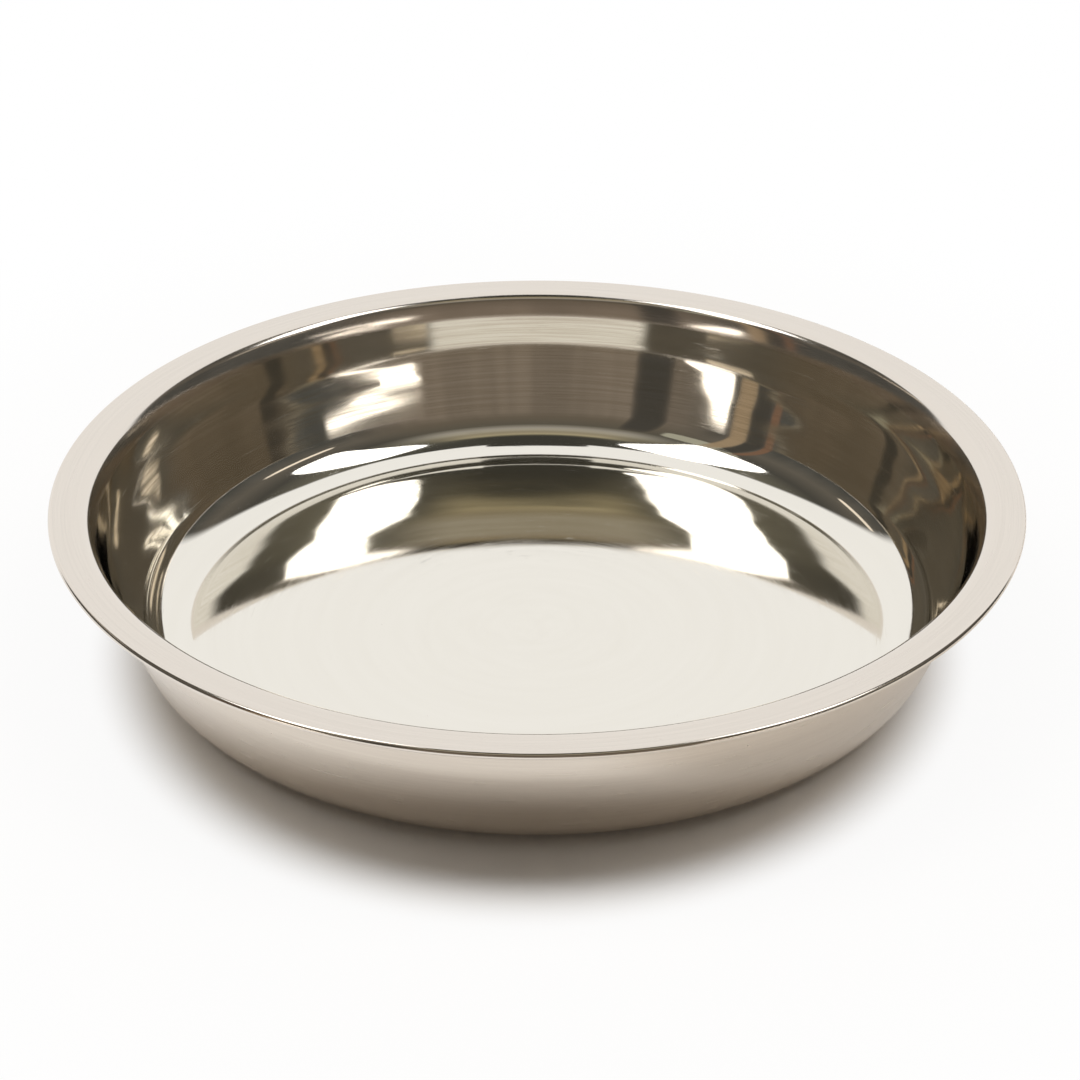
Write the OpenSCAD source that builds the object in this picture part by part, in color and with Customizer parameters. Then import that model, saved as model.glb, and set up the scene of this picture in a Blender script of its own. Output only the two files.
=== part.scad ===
// Shallow round feeding bowl pressed from one stainless steel sheet.
// +Z is up and the origin is in the middle of the underside, on the table.
// The sheet is drawn as its five worked zones, which meet face to face.

/* [Rim] */
// Diameter over the rolled edge
rim_d = 250; // [200:1:340]
// Width of the rim, from the start of the shoulder to the outside of the rolled edge
rim_w = 8; // [6:0.5:20]
// Radius of the shoulder between the flat rim and the wall, on the polished side
shoulder_r = 3.2; // [2:0.1:8]
// Height of the rolled edge, over both layers of the sheet
edge_h = 1.6; // [1.4:0.1:3]
// Width of the strip that is turned back under the rim
edge_return_w = 3.5; // [2:0.5:4]

/* [Bowl] */
// Height from the table to the top of the rim
bowl_h = 42.5; // [25:0.5:70]
// Lean of the lower wall from upright, in degrees
wall_lean = 20.5; // [8:0.5:30]
// Lean of the wall's steeper head from upright, in degrees
head_lean = 13; // [4:0.5:20]
// Part of the wall's height that the head takes
head_share = 0.5; // [0.2:0.05:0.7]
// Radius of the corner between the floor and the wall, on the polished side
corner_r = 15.5; // [4:0.5:20]
// Thickness of the sheet
sheet_t = 0.6; // [0.4:0.05:0.75]

/* [Hidden] */
$fn = 240;
polished_colour = "#c4bfb6";
satin_colour = "#ded8d1";

// Outward directions square to the lower wall and to its head, as radius and height
outward = [cos(wall_lean), -sin(wall_lean)];
head_outward = [cos(head_lean), -sin(head_lean)];

// Centres of the edge's and the shoulder's bends in the cross-section, as radius and height
edge_centre = [rim_d / 2 - edge_h / 2, bowl_h - edge_h / 2];
shoulder_centre = [rim_d / 2 - rim_w, bowl_h - shoulder_r];

// Top of the head and the crease at its foot, on the food side
corner_z = sheet_t + corner_r;
head_top = shoulder_centre - shoulder_r * head_outward;
crease_z = shoulder_centre.y - head_share * (shoulder_centre.y - corner_z);
crease = [head_top.x - (head_top.y - crease_z) * tan(head_lean), crease_z];

// The corner's centre lies its radius from the line of the lower wall
corner_reach = (corner_r + (crease_z - corner_z) * sin(wall_lean)) / cos(wall_lean);
floor_r = crease.x - corner_reach;
corner_centre = [floor_r, corner_z];

// The crease on the outside, where both faces lie the sheet's thickness away
crease_turn = wall_lean - head_lean;
crease_step = sheet_t / (1 + cos(crease_turn)) * (outward + head_outward);

// Full-turn solid of the cross-section drawn inside it
module turned() {
    rotate_extrude() children();
}

// Cross-section of a round bend in the sheet, between two directions given in degrees
module bend(centre, inner_r, from_a, to_a) {
    outer_r = inner_r + sheet_t;
    reach = 2 * outer_r;
    sides = 4;
    translate(centre)
        intersection() {
            difference() {
                circle(outer_r);
                circle(inner_r);
            }
            polygon(concat(
                [[0, 0]],
                [for (i = [0:sides]) let (a = from_a + (to_a - from_a) * i / sides) reach * [cos(a), sin(a)]]
            ));
        }
}

// Flat floor, which is also the face that the bowl stands on
module floor_disc() {
    color(polished_colour)
        cylinder(h = sheet_t, r = floor_r);
}

// Rounded corner between the floor and the wall
module corner_ring() {
    color(polished_colour)
        turned()
            bend(corner_centre, corner_r, -90, -wall_lean);
}

// Leaning wall between the corner and the shoulder, steeper in its head
module side_wall() {
    color(polished_colour)
        turned()
            polygon([
                corner_centre + corner_r * outward,
                corner_centre + (corner_r + sheet_t) * outward,
                crease + crease_step,
                head_top + sheet_t * head_outward,
                head_top,
                crease
            ]);
}

// Rounded shoulder and the flat rim
module rim_flange() {
    color(satin_colour)
        turned() {
            bend(shoulder_centre, shoulder_r - sheet_t, 90, 180 - head_lean);
            translate([shoulder_centre.x, bowl_h - sheet_t])
                square([edge_centre.x - shoulder_centre.x, sheet_t]);
        }
}

// Half-round turn at the outside of the rim and the strip turned back under it
module rolled_edge() {
    color(polished_colour)
        turned() {
            bend(edge_centre, edge_h / 2 - sheet_t, -90, 90);
            translate([edge_centre.x - edge_return_w, bowl_h - edge_h])
                square([edge_return_w, sheet_t]);
        }
}

floor_disc();
corner_ring();
side_wall();
rim_flange();
rolled_edge();
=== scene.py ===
import math

import bpy
import numpy as np
from mathutils import Matrix, Vector


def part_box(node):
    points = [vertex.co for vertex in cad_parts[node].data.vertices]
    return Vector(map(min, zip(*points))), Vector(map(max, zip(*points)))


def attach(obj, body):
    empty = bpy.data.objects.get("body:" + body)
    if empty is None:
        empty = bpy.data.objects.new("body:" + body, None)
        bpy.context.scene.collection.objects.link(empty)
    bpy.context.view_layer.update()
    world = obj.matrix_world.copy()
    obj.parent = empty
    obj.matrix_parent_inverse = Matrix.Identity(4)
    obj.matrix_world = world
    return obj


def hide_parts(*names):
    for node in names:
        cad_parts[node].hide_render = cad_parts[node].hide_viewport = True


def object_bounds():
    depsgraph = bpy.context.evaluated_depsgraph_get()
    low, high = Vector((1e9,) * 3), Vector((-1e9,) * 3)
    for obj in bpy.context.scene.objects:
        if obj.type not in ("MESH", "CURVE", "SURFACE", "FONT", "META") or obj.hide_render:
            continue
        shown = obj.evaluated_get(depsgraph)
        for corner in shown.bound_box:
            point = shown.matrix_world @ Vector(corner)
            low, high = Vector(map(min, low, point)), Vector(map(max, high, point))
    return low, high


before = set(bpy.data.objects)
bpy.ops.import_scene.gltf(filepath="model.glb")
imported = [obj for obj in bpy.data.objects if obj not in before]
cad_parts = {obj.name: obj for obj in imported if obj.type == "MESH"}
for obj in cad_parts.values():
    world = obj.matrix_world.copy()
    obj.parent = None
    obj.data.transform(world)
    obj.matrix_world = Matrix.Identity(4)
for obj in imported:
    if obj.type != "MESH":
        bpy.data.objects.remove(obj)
cad_low, cad_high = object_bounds()

MM = 0.001

# Name of the attribute that holds the distance along the section, in millimetres
ALONG = "along_section"

# How finely the sheet is drawn: steps round the bowl, the turn of a step in a bend, and a step's length
ROUND_STEPS = 400
BEND_STEP = math.radians(2)
RUN_STEP = 0.8 * MM

# Distance along the section below which two places are the same
SAME_PLACE = 1e-12

# Waves that spinning and polishing leave on the food side: the rings' height, pitch and first rising slope
# on the wall, the slow waves' height there, its share at the front and the back, and the slow waves' height
# on the floor and the width over which they die out at its edge
RING_WAVE = 0.006 * MM
RING_WAVE_L = 9.5 * MM
RING_WAVE_START = 4 * MM
WALL_WAVE = 0.03 * MM
BACK_WAVE_SHARE = 0.2
FLOOR_WAVE = 0.008 * MM
FLOOR_WAVE_FADE = 20 * MM

# Slow waves on the wall: how many go round the bowl, their phase, half waves up the wall and their phase
WALL_SINES = [(7, 1.1, 2.2, 0.0), (17, 2.3, 3.6, 0.8)]

# Slow waves on the floor: how many go round the bowl, their phase and their share of the height
FLOOR_SINES = [(5, 0.4, 1.0), (9, 2.0, 0.6)]

# Marks of the turning tool: about how far each runs round the bowl, in radians, and its pitch in
# millimetres
LINE_ROUND = 0.35
BAND_ROUND = 0.8
BAND_PITCH = 4.0
SCRATCH_ROUND = 0.12
SCRATCH_PITCH = 0.5

# Noise of the lines, the bands and the scratches
LINE_NOISE = {"Scale": 1.0, "Detail": 3.0, "Roughness": 0.6}
BAND_NOISE = {"Scale": 1.0, "Detail": 2.0, "Roughness": 0.5}
SCRATCH_NOISE = {"Scale": 1.0, "Detail": 1.0, "Roughness": 0.5}

# Values of noise between which most of it lies, a line turns dark, and a scratch starts to show
MOST_NOISE = (0.3, 0.7)
DARK_LINE_NOISE = (0.35, 0.65)
DEEP_SCRATCH_NOISE = (0.70, 0.76)

# What a scratch and a speck add to the roughness, how much the bands count beside the lines in the worn
# tint, and how much of that tint shows
SCRATCH_DULL = 0.1
SPECK_DULL = 0.3
BAND_TINT = 0.3
WORN_SHARE = 0.65

# Dull specks on the steel: the room that each has, its size, and how much of its radius is fully dull
SPECK_GAP = 7 * MM
SPECK_R = 0.28 * MM
SPECK_CORE = 0.6

# Half the width of the zone, in millimetres, over which one finish turns into the next
FINISH_FADE = 2.0

# Camera, from the perspective fit
PHOTO_SIZE = 1080
FOCAL_PIXELS = 3401
RIM_PIXEL = (537.0, 487.6)
CAMERA_ELEVATION = 28.81
CAMERA_DISTANCE = 0.875

# Stage: distances in metres, angles in degrees, with azimuth 0 in front of the bowl and 90 on its right
ROOM_DISTANCE = 2.5
ROOM_FOOT = -2
ROOM_TOP = 89.5
ROOM_HALF_WIDTH = 128
ROOM_END_FADE = 7
CEILING_FOOT = 57
CEILING_HALF_WIDTH = 100
SOFTBOX_DISTANCE = 1.6
STAND_DISTANCE = 2.2
GLOW_CORNER_POWER = 5.0

# Points across and up a card, across the room and up it, and round the table, with the table's circles
CARD_POINTS = 13
ROOM_COLUMNS = 97
ROOM_ROWS = 61
TABLE_COLUMNS = 97
TABLE_CIRCLES = 2

# Pale table: its size, and how its white for the camera and for reflections grows away from the bowl's foot
TABLE_R = 3.0
TABLE_GAP = 0.02 * MM
TABLE_COLOUR = "#faf8f5"
TABLE_FOOT = 0.110
TABLE_CLEAR = 0.134
TABLE_FAR = 0.3
TABLE_CLEAR_SHARE = 0.92
TABLE_SIDE_STRETCH = 1.15
TABLE_SIDE_SHIFT = 0.002

# How the table's white gives way in reflections, going right from the middle: where this starts, where it
# is complete, and the most white that is left there
TABLE_SHADE_START = 0.0
TABLE_SHADE_FULL = 0.06
TABLE_SHADE_SHARE = 0.28

# Lamps: width and colour, and for each its azimuth, elevation, distance and share of the background's white
LAMP_SIZE = 0.9
LAMP_COLOUR = "#fff8ef"
LAMPS = {
    "overhead_lamp": (0, 90, 1.3, 0.28),
    "left_lamp": (-90, 60, SOFTBOX_DISTANCE, 0.3),
    "right_lamp": (88, 57, SOFTBOX_DISTANCE, 0.3),
}

# Light of the world on things, as a share of the background's white
SKY_LIGHT = 0.06

# Colours of the unlit room by elevation, in front of the bowl and at its sides
FRONT_COLOURS = [
    (ROOM_FOOT, "#75695a"),
    (14, "#81766a"),
    (30, "#6a6155"),
    (46, "#5f5a50"),
    (54, "#a19c92"),
    (58, "#a8a293"),
    (63, "#968d78"),
    (68, "#ada387"),
    (70.5, "#5a574b"),
    (73, "#403f3a"),
    (ROOM_TOP, "#403f3a"),
]
SIDE_COLOURS = [
    (ROOM_FOOT, "#53524e"),
    (14, "#52514d"),
    (30, "#666159"),
    (46, "#4c4a45"),
    (60, "#6c695e"),
    (75, "#484741"),
    (ROOM_TOP, "#403f3a"),
]

# Degrees off the front at which the front's colours start to give way and at which the sides' are reached
SIDE_START = 30
SIDE_FULL = 65

# Upright bands low in the room: their noise, how dark and how light they are, and the heights in degrees
# above the room's foot between which they fade out
ROOM_BAND_STRETCH = (22.0, 0.8, 1.0)
ROOM_NOISE = {"Scale": 1.0, "Detail": 3.0, "Roughness": 0.65}
MOST_ROOM_NOISE = (0.32, 0.68)
ROOM_BAND_LOW = 0.85
ROOM_BAND_HIGH = 1.12
BAND_FADE_START = 15
BAND_FADE_END = 40

# Glows of the stage's cards: colour, strength, and how much of the glow's reach its soft outline takes
GLOWS = {
    "ceiling": ("#403f3a", 1.0, 0.1),
    "softbox": ("#ffffff", 2.6, 0.05),
    "lamp_foot": ("#fff6ea", 2.8, 0.6),
    "pale_stand": ("#aaa898", 1.0, 0.6),
    "light_strip": ("#e8dccb", 1.3, 0.6),
    "dark_post": ("#484540", 1.0, 1.0),
    "tan_post": ("#a08c72", 1.0, 1.0),
    "red_brown_post": ("#7d6250", 1.0, 1.0),
}

# Cards of the stage: glow, distance, and azimuth and elevation of the lower left, lower right, upper right
# and upper left corners
CARDS = {
    "ceiling": ("ceiling", STAND_DISTANCE, [(-45, 81), (45, 81), (135, 81), (-135, 81)]),
    "softbox_left": ("softbox", SOFTBOX_DISTANCE, [(-92, 46), (-58, 46), (-62, 78), (-126, 70)]),
    "softbox_right": ("softbox", SOFTBOX_DISTANCE, [(68, 38), (90, 38), (112, 68), (58, 70)]),
    "stand_left": ("pale_stand", STAND_DISTANCE, [(-60, 36), (-42, 36), (-42, 46), (-80, 46)]),
    "light_strip_left": (
        "light_strip", STAND_DISTANCE, [(-124, 25.6), (-104, 25.6), (-104, 28.4), (-124, 28.4)]
    ),
    "light_strip_right": ("light_strip", STAND_DISTANCE, [(64, 25.6), (92, 25.6), (92, 28.4), (64, 28.4)]),
    "lamp_foot_left": (
        "lamp_foot", SOFTBOX_DISTANCE, [(-56.5, 4.2), (-38.5, 4.8), (-52, 13.4), (-57, 13.4)]
    ),
    "lamp_foot_right": ("lamp_foot", SOFTBOX_DISTANCE, [(41, 4), (60, 4.4), (60, 5.8), (41, 5.4)]),
    "lamp_knee_right": ("lamp_foot", SOFTBOX_DISTANCE, [(33, 11.6), (59, 4.1), (59, 5.7), (33, 13.4)]),
    "lamp_joint_right": ("lamp_foot", SOFTBOX_DISTANCE, [(34, 9.8), (45, 9.4), (45, 12.7), (34, 13)]),
    "lamp_leg_right": ("lamp_foot", SOFTBOX_DISTANCE, [(32, 11.8), (64, 11), (64, 12), (32, 13.6)]),
}

# Posts that stand in the room: glow, and the azimuths of the left and the right side
POST_TOP = 48
POSTS = {
    "dark_post_left": ("dark_post", -39, -27),
    "tan_post_left": ("tan_post", -63.5, -57.5),
    "dark_post_far_left": ("dark_post", -69, -63),
    "red_post_left": ("red_brown_post", -72, -69),
}

# Sizes that the frame gives, in metres
RIM_R = cad_high.x
BOWL_H = cad_high.z
FLOOR_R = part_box("floor_disc")[1].x
SHEET_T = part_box("floor_disc")[1].z
EDGE_H = BOWL_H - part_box("rolled_edge")[0].z

# Sizes that repeat the part's source
WALL_LEAN = math.radians(20.5)
HEAD_LEAN = math.radians(13)
HEAD_SHARE = 0.5
SHOULDER_R = 3.2 * MM
CORNER_R = 15.5 * MM
EDGE_RETURN_W = 3.5 * MM

# Soft turns that the source leaves out: the wall's foot leans a little more and its lower part turns back,
# the crease is a long bend, the shoulder starts with a wide bend, and the edge is rounder above than below
FOOT_EXTRA_LEAN = math.radians(1.75)
CREASE_R = 50 * MM
EASE_TURN = math.radians(12)
EASE_L = 4.5 * MM
EDGE_TOP_R = 1.1 * MM
EDGE_TOP_TURN = math.radians(75)

# Sizes worked out from these
CORNER_TURN = math.pi / 2 - WALL_LEAN - FOOT_EXTRA_LEAN
WALL_TURN = 2 * FOOT_EXTRA_LEAN
CREASE_TURN = WALL_LEAN - FOOT_EXTRA_LEAN - HEAD_LEAN
SHOULDER_TURN = math.pi / 2 - HEAD_LEAN - EASE_TURN
EDGE_TOP_DROP = EDGE_TOP_R * (1 - math.cos(EDGE_TOP_TURN))
FOLD_R = (EDGE_H - EDGE_TOP_DROP) / (1 + math.cos(EDGE_TOP_TURN))
EDGE_REACH = FOLD_R + (EDGE_TOP_R - FOLD_R) * math.sin(EDGE_TOP_TURN)
CORNER_CENTRE_Z = SHEET_T + CORNER_R
SHOULDER_CENTRE_Z = BOWL_H - SHOULDER_R
CREASE_Z = SHOULDER_CENTRE_Z - HEAD_SHARE * (SHOULDER_CENTRE_Z - CORNER_CENTRE_Z)
CREASE_REACH = CREASE_R * math.tan(CREASE_TURN / 2)
WALL_RISE = CREASE_Z - CORNER_CENTRE_Z + CORNER_R * math.cos(CORNER_TURN)
WALL_L = WALL_RISE / math.cos(WALL_LEAN) - CREASE_REACH

# Runs and bends of the sheet's food side in section, from the middle of the bowl to the free end of the
# edge. Each has a length and a turn to the left per metre. The head and the flange get their lengths in
# close_section.
RUNS = {
    "floor": (FLOOR_R, 0.0),
    "corner": (CORNER_R * CORNER_TURN, 1 / CORNER_R),
    "wall": (WALL_L, WALL_TURN / WALL_L),
    "crease": (CREASE_R * CREASE_TURN, 1 / CREASE_R),
    "head": (0.0, 0.0),
    "ease": (EASE_L, -EASE_TURN / EASE_L),
    "shoulder": (SHOULDER_R * SHOULDER_TURN, -1 / SHOULDER_R),
    "flange": (0.0, 0.0),
    "edge": (EDGE_TOP_R * EDGE_TOP_TURN, -1 / EDGE_TOP_R),
    "fold": (FOLD_R * (math.pi - EDGE_TOP_TURN), -1 / FOLD_R),
    "return": (EDGE_RETURN_W, 0.0),
}


def run_starts():
    """Where each run starts: distance along the section, radius, height and heading, each found by going
    along the run before it."""
    starts = {}
    at = (0.0, 0.0, SHEET_T, 0.0)
    for name, (length, turn) in RUNS.items():
        starts[name] = at
        s, r, z, heading = at
        half = turn * length / 2
        chord = length * np.sinc(half / math.pi)
        at = (
            s + length,
            r + chord * math.cos(heading + half),
            z + chord * math.sin(heading + half),
            heading + 2 * half,
        )
    return starts


def close_section():
    """Gives the head the height that the other runs leave below the rim, and then the flange the width that
    they leave inside the edge."""
    height = run_starts()["edge"][2]
    RUNS["head"] = ((BOWL_H - height) / math.cos(HEAD_LEAN), 0.0)
    radius = run_starts()["edge"][1]
    RUNS["flange"] = (RIM_R - EDGE_REACH - radius, 0.0)


close_section()
STARTS = run_starts()


def unit(vectors):
    """Vectors divided by their lengths."""
    return vectors / np.linalg.norm(vectors, axis=-1, keepdims=True)


def food_side(s):
    """Radius, height and heading of the food side at distance s along the section. A run of length u that
    turns by t to the left per metre ends at the chord u times sinc(t u / 2), which points half way through
    its turn."""
    r = np.zeros_like(s)
    z = np.zeros_like(s)
    heading = np.zeros_like(s)
    for name, (length, turn) in RUNS.items():
        start_s, start_r, start_z, start_heading = STARTS[name]
        here = s >= start_s - SAME_PLACE
        u = s - start_s
        half = turn * u / 2
        chord = u * np.sinc(half / math.pi)
        r = np.where(here, start_r + chord * np.cos(start_heading + half), r)
        z = np.where(here, start_z + chord * np.sin(start_heading + half), z)
        heading = np.where(here, start_heading + 2 * half, heading)
    return r, z, heading


def wave(s, turn):
    """Height of the food side above the true shape, from the spinning and polishing. On the wall it is a
    sine up the wall, which makes rings, and slow sines round and up the wall that are highest at the sides;
    all of it is times a squared sine, which is 0 at the wall's foot and at the head. On the floor it is
    slow sines round the bowl, times the square of the distance from the middle and, near the floor's edge,
    the square of the distance from that."""
    up_wall = s - STARTS["wall"][0]
    wall_share = np.clip(up_wall / (WALL_L + CREASE_R * CREASE_TURN), 0, 1)
    on_wall = np.sin(math.pi * wall_share) ** 2
    rings = RING_WAVE * np.sin(2 * math.pi * (up_wall - RING_WAVE_START) / RING_WAVE_L)
    at_side = BACK_WAVE_SHARE + (1 - BACK_WAVE_SHARE) * np.cos(turn) ** 2
    slow = sum(
        np.sin(count * turn + phase) * np.sin(half_waves * math.pi * wall_share + up_phase)
        for count, phase, half_waves, up_phase in WALL_SINES
    )
    wall_wave = WALL_WAVE * at_side * slow
    on_floor = np.clip(s / FLOOR_R, 0, 1) ** 2 * np.clip((FLOOR_R - s) / FLOOR_WAVE_FADE, 0, 1) ** 2
    slow = sum(share * np.sin(count * turn + phase) for count, phase, share in FLOOR_SINES)
    floor_wave = FLOOR_WAVE * slow
    return on_wall * (rings + wall_wave) + on_floor * floor_wave


def skin(s, turn, depth):
    """Point of the sheet at distance s along the section, at an angle round the bowl and at a depth below
    the food side: the food-side point moved against its normal by the depth, and along it by the waves,
    which fade out through the sheet."""
    r, z, heading = food_side(s)
    lift = wave(s, turn) * (1 - depth / SHEET_T) - depth
    r = r - lift * np.sin(heading)
    z = z + lift * np.cos(heading)
    return np.stack([r * np.cos(turn), r * np.sin(turn), z + 0 * turn], axis=-1)


def skin_normal(s, turn, depth):
    """Direction square to the sheet at a point, towards its food side, from the cross product of two short
    steps, one along the section and one round the bowl."""
    step_s = 1e-6
    step_turn = 1e-5
    along = skin(s + step_s, turn, depth) - skin(s - step_s, turn, depth)
    round_bowl = skin(s, turn + step_turn, depth) - skin(s, turn - step_turn, depth)
    return unit(np.cross(along, round_bowl))


def section_stops(run_names):
    """Distances along the section at which a zone has rings: even steps in each straight run and round
    bend."""
    stops = [STARTS[run_names[0]][0]]
    for name in run_names:
        length, turn = RUNS[name]
        bend_steps = math.ceil(abs(length * turn) / BEND_STEP)
        run_steps = math.ceil(length / RUN_STEP)
        steps = max(bend_steps, run_steps)
        start = STARTS[name][0]
        stops.extend(start + length * (i + 1) / steps for i in range(steps))
    return np.array(stops)


def zone_shell(run_names):
    """A zone of the sheet as a closed shell. Its rings go out along the food side, through the thickness
    and back along the underside, and its cut ends face along the section. A zone that starts in the middle
    of the bowl is closed there with a fan on each side. The result is the vertices, the faces, each face
    corner's normal, each face's side (0 for the food side, 1 for the rest), each vertex's distance along
    the section, and each face corner's share of the turn round the bowl."""
    stops = section_stops(run_names)
    at_middle = stops[0] <= 0
    if at_middle:
        stops = stops[1:]
    count = len(stops)
    ring_count = 2 * count
    s = np.concatenate([stops, stops[::-1]])[:, None]
    depth = np.repeat([0.0, SHEET_T], count)[:, None]
    turn = np.linspace(0, 2 * math.pi, ROUND_STEPS, endpoint=False)[None, :]
    points = skin(s, turn, depth)
    normals = skin_normal(s, turn, depth) * np.where(depth > 0, -1.0, 1.0)[..., None]
    ring = np.arange(ring_count - 1 if at_middle else ring_count)[:, None]
    column = np.arange(ROUND_STEPS)[None, :]
    next_ring = (ring + 1) % ring_count
    next_column = (column + 1) % ROUND_STEPS
    corners = [(ring, column), (next_ring, column), (next_ring, next_column), (ring, next_column)]
    faces = np.stack([r * ROUND_STEPS + c for r, c in corners], axis=-1).reshape(-1, 4).tolist()
    corner_normals = np.stack([normals[r, c] for r, c in corners], axis=-2)
    corner_normals[count - 1] = unit(points[count - 1] - points[count - 2])[:, None, :]
    if not at_middle:
        corner_normals[-1] = unit(points[0] - points[1])[:, None, :]
    corner_normals = corner_normals.reshape(-1, 3)
    face_side = np.repeat(np.where(np.arange(len(ring)) < count, 0, 1), ROUND_STEPS)
    vertices = points.reshape(-1, 3)
    along = np.repeat(s[:, 0], ROUND_STEPS)
    around = np.stack(np.broadcast_arrays(column, column, column + 1, column + 1), axis=-1) / ROUND_STEPS
    around = np.tile(around.reshape(-1), len(ring))
    if at_middle:
        top = len(vertices)
        first = np.arange(ROUND_STEPS)
        second = (first + 1) % ROUND_STEPS
        last = (ring_count - 1) * ROUND_STEPS
        up_fan = np.stack([np.full_like(first, top), first, second], axis=-1)
        down_fan = np.stack([np.full_like(first, top + 1), last + second, last + first], axis=-1)
        faces += up_fan.tolist() + down_fan.tolist()
        up = np.tile([0.0, 0.0, 1.0], (3 * ROUND_STEPS, 1))
        corner_normals = np.concatenate([corner_normals, up, -up])
        face_side = np.concatenate([face_side, np.zeros(ROUND_STEPS, int), np.ones(ROUND_STEPS, int)])
        vertices = np.concatenate([vertices, [[0, 0, SHEET_T], [0, 0, 0]]])
        along = np.concatenate([along, [0, 0]])
        around = np.concatenate([around, np.tile([0.0, 0.5, 1.0], 2 * ROUND_STEPS)])
    return vertices, faces, corner_normals, face_side, along, around


def sheet_zone(name, node, run_names, finishes):
    """One zone of the sheet as a piece that stands for a node. The first finish is on the food side and the
    second on the rest. Its UV map has the distance along the section and the turn round the bowl."""
    vertices, faces, corner_normals, face_side, along, around = zone_shell(run_names)
    mesh = bpy.data.meshes.new(name)
    mesh.from_pydata(vertices.tolist(), [], faces)
    mesh.polygons.foreach_set("use_smooth", np.ones(len(faces), bool))
    mesh.polygons.foreach_set("material_index", face_side)
    mesh.attributes.new(ALONG, "FLOAT", "POINT").data.foreach_set("value", (along / MM).astype(np.float32))
    corner_vertex = np.zeros(len(mesh.loops), np.int32)
    mesh.loops.foreach_get("vertex_index", corner_vertex)
    uv = np.stack([along[corner_vertex] / RIM_R, around], axis=-1)
    mesh.uv_layers.new(name="UVMap").data.foreach_set("uv", uv.ravel().astype(np.float32))
    mesh.normals_split_custom_set(corner_normals.tolist())
    mesh.validate(verbose=False)
    for finish in finishes:
        mesh.materials.append(finish)
    piece = bpy.data.objects.new(name, mesh)
    bpy.context.scene.collection.objects.link(piece)
    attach(piece, "root")
    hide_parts(node)


def linear(hex_colour):
    """Linear colour with alpha for an sRGB hex value."""
    channels = [int(hex_colour[i:i + 2], 16) / 255 for i in (1, 3, 5)]
    return tuple(c / 12.92 if c <= 0.04045 else ((c + 0.055) / 1.055) ** 2.4 for c in channels) + (1.0,)


def add_node(tree, kind, inputs=None, **settings):
    """Adds a node with its settings. Each input is a value, or another node's output to link."""
    node = tree.nodes.new(kind)
    for name, value in settings.items():
        setattr(node, name, value)
    for key, value in (inputs or {}).items():
        if isinstance(value, bpy.types.NodeSocket):
            tree.links.new(value, node.inputs[key])
        else:
            node.inputs[key].default_value = value
    return node


# Setting of a Map Range node that eases in and out
SMOOTH = {"interpolation_type": "SMOOTHSTEP"}


def span(value, low, high, to_low, to_high):
    """Inputs of a Map Range node that turns a value between low and high to one between to_low and
    to_high."""
    return {"Value": value, "From Min": low, "From Max": high, "To Min": to_low, "To Max": to_high}


def new_material(name):
    """An empty node material and its tree."""
    material = bpy.data.materials.new(name)
    material.use_nodes = True
    material.node_tree.nodes.clear()
    return material, material.node_tree


def lathe_coordinates(tree, round_size, line_pitch):
    """Coordinates for marks left by a tool that turns round the bowl: they change slowly round it, once in
    about round_size radians, and fast along the section, once in line_pitch millimetres."""
    place = add_node(tree, "ShaderNodeTexCoord").outputs["Object"]
    parts = add_node(tree, "ShaderNodeSeparateXYZ", {"Vector": place})
    flat = add_node(tree, "ShaderNodeCombineXYZ", {"X": parts.outputs["X"], "Y": parts.outputs["Y"]})
    direction = add_node(tree, "ShaderNodeVectorMath", {0: flat.outputs[0]}, operation="NORMALIZE")
    around = add_node(
        tree, "ShaderNodeVectorMath", {0: direction.outputs[0], "Scale": 1 / round_size}, operation="SCALE"
    )
    along = add_node(tree, "ShaderNodeAttribute", attribute_name=ALONG)
    inputs = {0: along.outputs["Fac"], 1: 1 / line_pitch}
    lines = add_node(tree, "ShaderNodeMath", inputs, operation="MULTIPLY")
    height = add_node(tree, "ShaderNodeCombineXYZ", {"Z": lines.outputs[0]})
    return add_node(tree, "ShaderNodeVectorMath", {0: around.outputs[0], 1: height.outputs[0]}).outputs[0]


def tool_marks(tree, line_pitch):
    """Three fields of noise stretched along the tool's path: fine lines, broad bands, and short marks whose
    peaks are hairline scratches."""
    marks = []
    for round_size, pitch, noise in (
        (LINE_ROUND, line_pitch, LINE_NOISE),
        (BAND_ROUND, BAND_PITCH, BAND_NOISE),
        (SCRATCH_ROUND, SCRATCH_PITCH, SCRATCH_NOISE),
    ):
        place = lathe_coordinates(tree, round_size, pitch)
        marks.append(add_node(tree, "ShaderNodeTexNoise", {"Vector": place, **noise}).outputs["Fac"])
    return marks


def dull_specks(tree, speck_share):
    """1 on small round specks and 0 between them. Each has its own cell, and only a share of the cells has
    one."""
    place = add_node(tree, "ShaderNodeTexCoord").outputs["Object"]
    cells = add_node(tree, "ShaderNodeTexVoronoi", {"Vector": place, "Scale": 1 / SPECK_GAP})
    radius = SPECK_R / SPECK_GAP
    inputs = span(cells.outputs["Distance"], radius * SPECK_CORE, radius, 1.0, 0.0)
    near = add_node(tree, "ShaderNodeMapRange", inputs, **SMOOTH).outputs[0]
    chance = add_node(tree, "ShaderNodeSeparateColor", {"Color": cells.outputs["Color"]}).outputs[0]
    chosen = add_node(tree, "ShaderNodeMath", {0: chance, 1: speck_share}, operation="LESS_THAN").outputs[0]
    return add_node(tree, "ShaderNodeMath", {0: near, 1: chosen}, operation="MULTIPLY").outputs[0]


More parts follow.
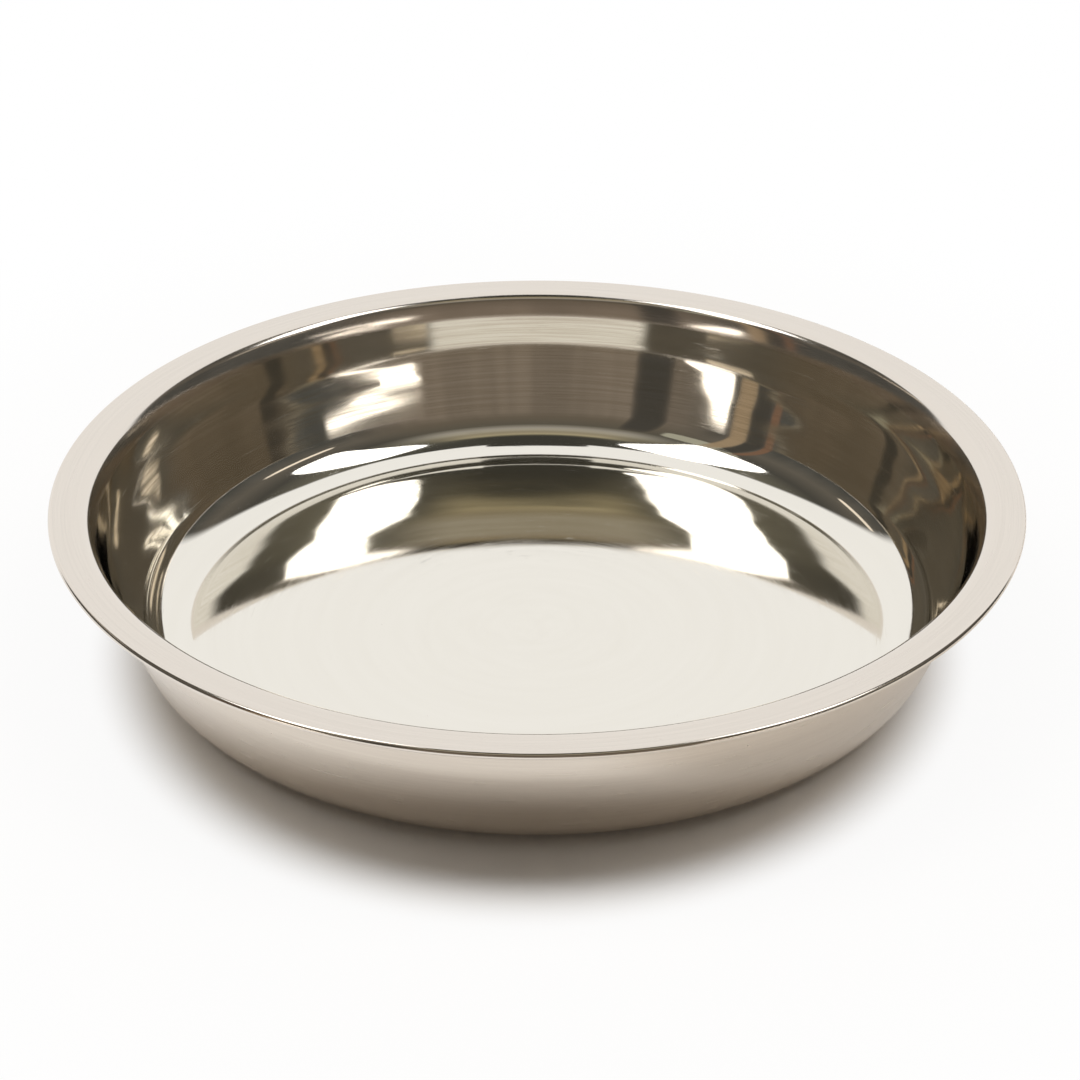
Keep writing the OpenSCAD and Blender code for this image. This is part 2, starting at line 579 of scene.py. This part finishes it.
def steel(
    name, colour, worn_colour, roughness, change_at, rough_spread,
    line_pitch, line_depth, speck_share, across,
):
    """Stainless steel that was finished by an abrasive turning round the bowl. Its lines follow the circle,
    its shine varies a little from line to line and blurs more across the lines than along them, and it
    holds small dull specks and hairline scratches. The roughness is a pair, for before and after the start
    of the run named by change_at, and only after it do the lines darken the tint."""
    material, tree = new_material(name)
    lines, bands, scratches = tool_marks(tree, line_pitch)
    speck = dull_specks(tree, speck_share)
    scratch = add_node(
        tree, "ShaderNodeMapRange", span(scratches, *DEEP_SCRATCH_NOISE, 0.0, 1.0), **SMOOTH
    ).outputs[0]
    along = add_node(tree, "ShaderNodeAttribute", attribute_name=ALONG).outputs["Fac"]
    change = STARTS[change_at][0] / MM
    inputs = span(along, change - FINISH_FADE, change + FINISH_FADE, 0.0, 1.0)
    after = add_node(tree, "ShaderNodeMapRange", inputs, **SMOOTH).outputs[0]
    base = add_node(tree, "ShaderNodeMapRange", span(after, 0.0, 1.0, *roughness), **SMOOTH).outputs[0]
    inputs = span(lines, *MOST_NOISE, -rough_spread, rough_spread)
    line_dull = add_node(tree, "ShaderNodeMapRange", inputs, **SMOOTH).outputs[0]
    inputs = span(bands, *MOST_NOISE, 0.0, rough_spread)
    band_dull = add_node(tree, "ShaderNodeMapRange", inputs, **SMOOTH).outputs[0]
    dull = add_node(tree, "ShaderNodeMath", {0: line_dull, 1: band_dull}, operation="ADD").outputs[0]
    for mark, mark_dull in ((scratch, SCRATCH_DULL), (speck, SPECK_DULL)):
        inputs = {0: mark, 1: mark_dull, 2: dull}
        dull = add_node(tree, "ShaderNodeMath", inputs, operation="MULTIPLY_ADD").outputs[0]
    rough = add_node(tree, "ShaderNodeMath", {0: dull, 1: base}, operation="ADD", use_clamp=True).outputs[0]
    inputs = span(lines, *DARK_LINE_NOISE, 0.0, 1.0)
    dark_line = add_node(tree, "ShaderNodeMapRange", inputs, **SMOOTH).outputs[0]
    dark_line = add_node(tree, "ShaderNodeMath", {0: dark_line, 1: after}, operation="MULTIPLY").outputs[0]
    inputs = {0: bands, 1: BAND_TINT, 2: dark_line}
    worn = add_node(tree, "ShaderNodeMath", inputs, operation="MULTIPLY_ADD").outputs[0]
    inputs = {0: worn, 1: WORN_SHARE}
    worn = add_node(tree, "ShaderNodeMath", inputs, operation="MULTIPLY", use_clamp=True).outputs[0]
    inputs = {"Factor": worn, "A": linear(colour), "B": linear(worn_colour)}
    tint = add_node(tree, "ShaderNodeMix", inputs, data_type="RGBA").outputs["Result"]
    bump = add_node(tree, "ShaderNodeBump", {"Height": lines, "Strength": 1.0, "Distance": line_depth})
    tangent = add_node(tree, "ShaderNodeTangent", direction_type="UV_MAP", uv_map="UVMap")
    inputs = {
        "Base Color": tint,
        "Metallic": 1.0,
        "Roughness": rough,
        "Normal": bump.outputs["Normal"],
        "Tangent": tangent.outputs["Tangent"],
        "Anisotropic": across,
    }
    shader = add_node(tree, "ShaderNodeBsdfPrincipled", inputs)
    add_node(tree, "ShaderNodeOutputMaterial", {"Surface": shader.outputs[0]})
    return material


def mirror_polished_steel():
    """The food side: polished on a lathe with ever finer felt. The floor and the corner are a sharp mirror,
    and the wall, which the felt reaches less well, blurs a little across its lines. The real lines are some
    0.1 mm apart and are drawn coarser, so that they show."""
    return steel(
        "mirror_polished_steel",
        colour="#ede9e0",
        worn_colour="#d8d1c3",
        roughness=(0.04, 0.06),
        change_at="wall",
        rough_spread=0.02,
        line_pitch=0.5,
        line_depth=0.0006 * MM,
        speck_share=0.2,
        across=0.5,
    )


def satin_steel():
    """The outside: left as a fine satin, which blurs what it reflects. The abrasive's real lines are finer
    and are drawn 0.4 mm apart, so that they show."""
    return steel(
        "satin_steel",
        colour="#ded4c7",
        worn_colour="#d9cec1",
        roughness=(0.22, 0.22),
        change_at="wall",
        rough_spread=0.02,
        line_pitch=0.4,
        line_depth=0.0005 * MM,
        speck_share=0.05,
        across=0.3,
    )


def rim_steel():
    """The top of the rim: mirror polished over the shoulder, where the felt runs out of the bowl, and satin
    on the flat, with faint lines round it. They are finer in the real one and are drawn 0.4 mm apart, so
    that they show."""
    return steel(
        "rim_steel",
        colour="#e4dcd2",
        worn_colour="#dfd7cd",
        roughness=(0.12, 0.2),
        change_at="flange",
        rough_spread=0.02,
        line_pitch=0.4,
        line_depth=0.0004 * MM,
        speck_share=0.05,
        across=0.3,
    )


def rolled_steel():
    """The turned edge: polished by the seaming roller, a little less sharp than the food side. Its real
    lines are finer and are drawn 0.3 mm apart, so that they show."""
    return steel(
        "rolled_steel",
        colour="#e6ded4",
        worn_colour="#d8cec2",
        roughness=(0.1, 0.1),
        change_at="edge",
        rough_spread=0.02,
        line_pitch=0.3,
        line_depth=0.0004 * MM,
        speck_share=0.02,
        across=0.0,
    )


def toward(azimuth, elevation):
    """Direction from the bowl at an azimuth, 0 in front and 90 on the right, and an elevation, in
    degrees."""
    a = np.radians(azimuth)
    e = np.radians(elevation)
    return np.stack([np.sin(a) * np.cos(e), -np.cos(a) * np.cos(e), np.sin(e)], axis=-1)


def surface(name, points, material):
    """A mesh from a grid of points, with its own UV map from 0 to 1 across the grid both ways."""
    rows, columns = points.shape[:2]
    row = np.arange(rows - 1)[:, None]
    column = np.arange(columns - 1)[None, :]
    corners = [(row, column), (row, column + 1), (row + 1, column + 1), (row + 1, column)]
    quads = np.stack([r * columns + c for r, c in corners], axis=-1).reshape(-1, 4)
    mesh = bpy.data.meshes.new(name)
    mesh.from_pydata(points.reshape(-1, 3).tolist(), [], quads.tolist())
    mesh.polygons.foreach_set("use_smooth", np.ones(len(quads), bool))
    across = np.linspace(0, 1, columns)[None, :].repeat(rows, 0)
    up = np.linspace(0, 1, rows)[:, None].repeat(columns, 1)
    uv = np.stack([across, up], axis=-1).reshape(-1, 2)[quads.ravel()]
    mesh.uv_layers.new(name="UVMap").data.foreach_set("uv", uv.ravel().astype(np.float32))
    mesh.materials.append(material)
    made = bpy.data.objects.new(name, mesh)
    bpy.context.scene.collection.objects.link(made)
    return made


def only_in_reflections(made):
    """Makes a stage object that only a shiny surface sees."""
    made.visible_camera = False
    made.visible_diffuse = False
    made.visible_transmission = False
    made.visible_volume_scatter = False
    made.visible_shadow = False


def light_where(tree, share, colour, strength):
    """The surface of a material that gives light of a colour and strength over a share, and is clear
    elsewhere."""
    light = add_node(tree, "ShaderNodeEmission", {"Color": colour, "Strength": strength})
    clear = add_node(tree, "ShaderNodeBsdfTransparent")
    mix = add_node(tree, "ShaderNodeMixShader", {0: share, 1: clear.outputs[0], 2: light.outputs[0]})
    add_node(tree, "ShaderNodeOutputMaterial", {"Surface": mix.outputs[0]})


def glow(name, colour, strength, feather):
    """A lamp's diffuser or a lit wall: an even glow with rounded corners. It covers the card's unit square
    as far as the sum of the two distances from the middle, each to the corner power, is under 1, and fades
    over the feather's share of that sum."""
    material, tree = new_material(name)
    place = add_node(tree, "ShaderNodeTexCoord").outputs["UV"]
    uv = add_node(tree, "ShaderNodeSeparateXYZ", {"Vector": place})
    powers = []
    for axis in ("X", "Y"):
        inputs = {0: uv.outputs[axis], 1: 2.0, 2: -1.0}
        centred = add_node(tree, "ShaderNodeMath", inputs, operation="MULTIPLY_ADD")
        distance = add_node(tree, "ShaderNodeMath", {0: centred.outputs[0]}, operation="ABSOLUTE")
        inputs = {0: distance.outputs[0], 1: GLOW_CORNER_POWER}
        powers.append(add_node(tree, "ShaderNodeMath", inputs, operation="POWER").outputs[0])
    reach = add_node(tree, "ShaderNodeMath", {0: powers[0], 1: powers[1]}, operation="ADD").outputs[0]
    fade = add_node(tree, "ShaderNodeMapRange", span(reach, 1 - feather, 1.0, 1.0, 0.0), **SMOOTH).outputs[0]
    light_where(tree, fade, linear(colour), strength)
    return material


def card(name, corners, distance, material):
    """A card between four corners, each an azimuth and an elevation: lower left, lower right, upper right
    and upper left. Its points are at mixes of the corners' directions, all at the given distance."""
    lower_left, lower_right, upper_right, upper_left = [toward(*corner) for corner in corners]
    across = np.linspace(0, 1, CARD_POINTS)[None, :, None]
    up = np.linspace(0, 1, CARD_POINTS)[:, None, None]
    low = lower_left * (1 - across) + lower_right * across
    high = upper_left * (1 - across) + upper_right * across
    only_in_reflections(surface(name, unit(low * (1 - up) + high * up) * distance, material))


def unlit_room():
    """The unlit side of the room, in front of the bowl and above it. From the foot up it is brown, then
    pale where its wall ends, and dark at the ceiling. Its sides are darker and greyer, and it has soft
    upright bands. The lit backdrop behind the bowl is the world's white. The room's points are at even
    azimuths and elevations on a sphere, and above the ceiling's foot its half width in degrees falls evenly
    to its top."""
    material, tree = new_material("unlit_room")
    room_height = ROOM_TOP - ROOM_FOOT
    room_width = 2 * ROOM_HALF_WIDTH
    uv = add_node(tree, "ShaderNodeTexCoord").outputs["UV"]
    parts = add_node(tree, "ShaderNodeSeparateXYZ", {"Vector": uv})
    stretched = add_node(tree, "ShaderNodeMapping", {"Vector": uv, "Scale": ROOM_BAND_STRETCH}).outputs[0]
    bands = add_node(tree, "ShaderNodeTexNoise", {"Vector": stretched, **ROOM_NOISE}).outputs["Fac"]
    inputs = span(bands, *MOST_ROOM_NOISE, ROOM_BAND_LOW, ROOM_BAND_HIGH)
    band = add_node(tree, "ShaderNodeMapRange", inputs, **SMOOTH).outputs[0]
    inputs = span(parts.outputs["Y"], BAND_FADE_START / room_height, BAND_FADE_END / room_height, 0.0, 1.0)
    above = add_node(tree, "ShaderNodeMapRange", inputs, **SMOOTH).outputs[0]
    brightness = add_node(tree, "ShaderNodeMix", {"Factor": above, "A": band, "B": 1.0}).outputs["Result"]
    ramps = []
    for colours in (FRONT_COLOURS, SIDE_COLOURS):
        ramp = add_node(tree, "ShaderNodeValToRGB", {"Fac": parts.outputs["Y"]})
        steps = ramp.color_ramp.elements
        steps[0].color = linear(colours[0][1])
        steps[1].color = linear(colours[-1][1])
        for step_elevation, step_colour in colours[1:-1]:
            steps.new((step_elevation - ROOM_FOOT) / room_height).color = linear(step_colour)
        ramps.append(ramp.outputs["Color"])
    inputs = {0: parts.outputs["X"], 1: 0.5}
    off_front = add_node(tree, "ShaderNodeMath", inputs, operation="SUBTRACT").outputs[0]
    off_front = add_node(tree, "ShaderNodeMath", {0: off_front}, operation="ABSOLUTE").outputs[0]
    inputs = span(off_front, SIDE_START / room_width, SIDE_FULL / room_width, 0.0, 1.0)
    to_side = add_node(tree, "ShaderNodeMapRange", inputs, **SMOOTH).outputs[0]
    inputs = {"Factor": to_side, "A": ramps[0], "B": ramps[1]}
    colour = add_node(tree, "ShaderNodeMix", inputs, data_type="RGBA").outputs["Result"]
    inputs = span(off_front, 0.5 - ROOM_END_FADE / room_width, 0.5, 1.0, 0.0)
    solid = add_node(tree, "ShaderNodeMapRange", inputs, **SMOOTH).outputs[0]
    light_where(tree, solid, colour, brightness)
    across = np.linspace(-1, 1, ROOM_COLUMNS)[None, :]
    elevation = np.linspace(ROOM_FOOT, ROOM_TOP, ROOM_ROWS)[:, None]
    half_width = np.interp(elevation, [CEILING_FOOT, ROOM_TOP], [ROOM_HALF_WIDTH, CEILING_HALF_WIDTH])
    points = toward(across * half_width, elevation + 0 * across) * ROOM_DISTANCE
    only_in_reflections(surface("unlit_room", points, material))


def seen_share(tree, path):
    """1 for the camera, for reflections and through glass, and 0 for the light that falls on things."""
    seen = path.outputs["Is Camera Ray"]
    for ray in ("Is Glossy Ray", "Is Transmission Ray"):
        inputs = {0: seen, 1: path.outputs[ray]}
        seen = add_node(tree, "ShaderNodeMath", inputs, operation="ADD", use_clamp=True).outputs[0]
    return seen


def table_top():
    """The pale table that the bowl stands on. For the camera and in reflections it turns from plain paper
    under the bowl's overhang, where the bowl's shadow lies, to the background's white far from the bowl,
    and sooner at the sides, where the lamps stand. In reflections on the bowl's right it stays less white,
    so that the paper's own shade shows. The table is a disc, with its points on two circles round the
    middle."""
    material, tree = new_material("pale_table")
    place = add_node(tree, "ShaderNodeTexCoord").outputs["Object"]
    inputs = {
        "Vector": place,
        "Location": (TABLE_SIDE_SHIFT, 0.0, 0.0),
        "Scale": (TABLE_SIDE_STRETCH, 1.0, 1.0),
    }
    stretched = add_node(tree, "ShaderNodeMapping", inputs).outputs[0]
    distance = add_node(tree, "ShaderNodeVectorMath", {0: stretched}, operation="LENGTH").outputs["Value"]
    inputs = span(distance, TABLE_FOOT, TABLE_CLEAR, 0.0, TABLE_CLEAR_SHARE)
    near_white = add_node(tree, "ShaderNodeMapRange", inputs, **SMOOTH).outputs[0]
    inputs = span(distance, TABLE_CLEAR, TABLE_FAR, 0.0, 1.0 - TABLE_CLEAR_SHARE)
    far_white = add_node(tree, "ShaderNodeMapRange", inputs, **SMOOTH).outputs[0]
    white_share = add_node(tree, "ShaderNodeMath", {0: near_white, 1: far_white}, operation="ADD").outputs[0]
    path = add_node(tree, "ShaderNodeLightPath")
    right = add_node(tree, "ShaderNodeSeparateXYZ", {"Vector": place}).outputs["X"]
    inputs = span(right, TABLE_SHADE_START, TABLE_SHADE_FULL, 0.0, TABLE_SHADE_SHARE - 1.0)
    drop = add_node(tree, "ShaderNodeMapRange", inputs, **SMOOTH).outputs[0]
    inputs = {0: path.outputs["Is Glossy Ray"], 1: drop, 2: 1.0}
    most = add_node(tree, "ShaderNodeMath", inputs, operation="MULTIPLY_ADD").outputs[0]
    white_share = add_node(tree, "ShaderNodeMath", {0: white_share, 1: most}, operation="MINIMUM").outputs[0]
    inputs = {0: white_share, 1: seen_share(tree, path)}
    share = add_node(tree, "ShaderNodeMath", inputs, operation="MULTIPLY").outputs[0]
    paper = add_node(tree, "ShaderNodeBsdfDiffuse", {"Color": linear(TABLE_COLOUR)})
    white = add_node(tree, "ShaderNodeEmission", {"Color": linear("#ffffff"), "Strength": 1.0})
    mix = add_node(tree, "ShaderNodeMixShader", {0: share, 1: paper.outputs[0], 2: white.outputs[0]})
    add_node(tree, "ShaderNodeOutputMaterial", {"Surface": mix.outputs[0]})
    radius = np.linspace(0.0, TABLE_R, TABLE_CIRCLES + 1)[1:, None]
    turn = np.linspace(0, 2 * math.pi, TABLE_COLUMNS)[None, :]
    rings = np.stack([radius * np.cos(turn), radius * np.sin(turn), 0 * radius * turn - TABLE_GAP], axis=-1)
    middle = np.zeros_like(rings[:1]) + [0, 0, -TABLE_GAP]
    table = surface("table_top", np.concatenate([middle, rings]), material)


def background():
    """White for the camera, for reflections and through glass, and a gentle even light for the rest."""
    world = bpy.data.worlds.new("white_background")
    world.use_nodes = True
    tree = world.node_tree
    tree.nodes.clear()
    seen = seen_share(tree, add_node(tree, "ShaderNodeLightPath"))
    inputs = span(seen, 0.0, 1.0, SKY_LIGHT, 1.0)
    strength = add_node(tree, "ShaderNodeMapRange", inputs, **SMOOTH).outputs[0]
    shader = add_node(tree, "ShaderNodeBackground", {"Color": linear("#ffffff"), "Strength": strength})
    add_node(tree, "ShaderNodeOutputWorld", {"Surface": shader.outputs[0]})
    bpy.context.scene.world = world


def lamp(name, azimuth, elevation, distance, share):
    """A soft square lamp that faces the bowl. Its power is such that, alone, it would light white paper on
    the table to the given share of the background's white. Reflections don't see it: in place of the two
    side lamps they see the softbox cards."""
    data = bpy.data.lights.new(name, "AREA")
    data.shape = "SQUARE"
    data.size = LAMP_SIZE
    data.energy = share * math.pi ** 2 * distance ** 2 / math.sin(math.radians(elevation))
    data.color = linear(LAMP_COLOUR)[:3]
    made = bpy.data.objects.new(name, data)
    place = Vector(toward(azimuth, elevation)) * distance
    made.location = place
    made.rotation_euler = place.to_track_quat("Z", "Y").to_euler()
    made.visible_glossy = False
    made.visible_camera = False
    bpy.context.scene.collection.objects.link(made)


def photo_camera():
    """The camera, from the perspective fit: it stands seven rim radii in front of the middle of the rim and
    looks so that this middle falls on the pixel where the photograph has it."""
    elevation = math.radians(CAMERA_ELEVATION)
    back = Vector((0, -math.cos(elevation), math.sin(elevation)))
    right = Vector((1, 0, 0))
    up = right.cross(-back)
    off_right = RIM_PIXEL[0] - PHOTO_SIZE / 2
    off_down = RIM_PIXEL[1] - PHOTO_SIZE / 2
    look = (-back * FOCAL_PIXELS - right * off_right + up * off_down).normalized()
    side = look.cross(Vector((0, 0, 1))).normalized()
    top = side.cross(look)
    data = bpy.data.cameras.new("photo_camera")
    data.sensor_width = 36
    data.lens = data.sensor_width * FOCAL_PIXELS / PHOTO_SIZE
    data.clip_start = 0.05
    data.clip_end = 50
    camera = bpy.data.objects.new("photo_camera", data)
    turn = Matrix((side, top, -look)).transposed()
    place = Vector((0, 0, BOWL_H)) + back * CAMERA_DISTANCE
    camera.matrix_world = Matrix.Translation(place) @ turn.to_4x4()
    bpy.context.scene.collection.objects.link(camera)
    bpy.context.scene.camera = camera


mirror_steel = mirror_polished_steel()
satin = satin_steel()
rim_finish = rim_steel()
edge_steel = rolled_steel()
sheet_zone("floor", "floor_disc", ["floor"], [mirror_steel, satin])
sheet_zone("corner", "corner_ring", ["corner"], [mirror_steel, satin])
sheet_zone("wall", "side_wall", ["wall", "crease", "head"], [mirror_steel, satin])
sheet_zone("rim", "rim_flange", ["ease", "shoulder", "flange"], [rim_finish, satin])
sheet_zone("edge", "rolled_edge", ["edge", "fold", "return"], [edge_steel, edge_steel])

unlit_room()
glows = {name: glow(name, *values) for name, values in GLOWS.items()}
for card_name, (glow_name, card_distance, card_corners) in CARDS.items():
    card(card_name, card_corners, card_distance, glows[glow_name])
for post_name, (glow_name, post_left, post_right) in POSTS.items():
    post_corners = [
        (post_left, ROOM_FOOT),
        (post_right, ROOM_FOOT),
        (post_right, POST_TOP),
        (post_left, POST_TOP),
    ]
    card(post_name, post_corners, STAND_DISTANCE, glows[glow_name])
table_top()
background()
for lamp_name, values in LAMPS.items():
    lamp(lamp_name, *values)
photo_camera()

view = bpy.context.scene.view_settings
view.view_transform = "Standard"
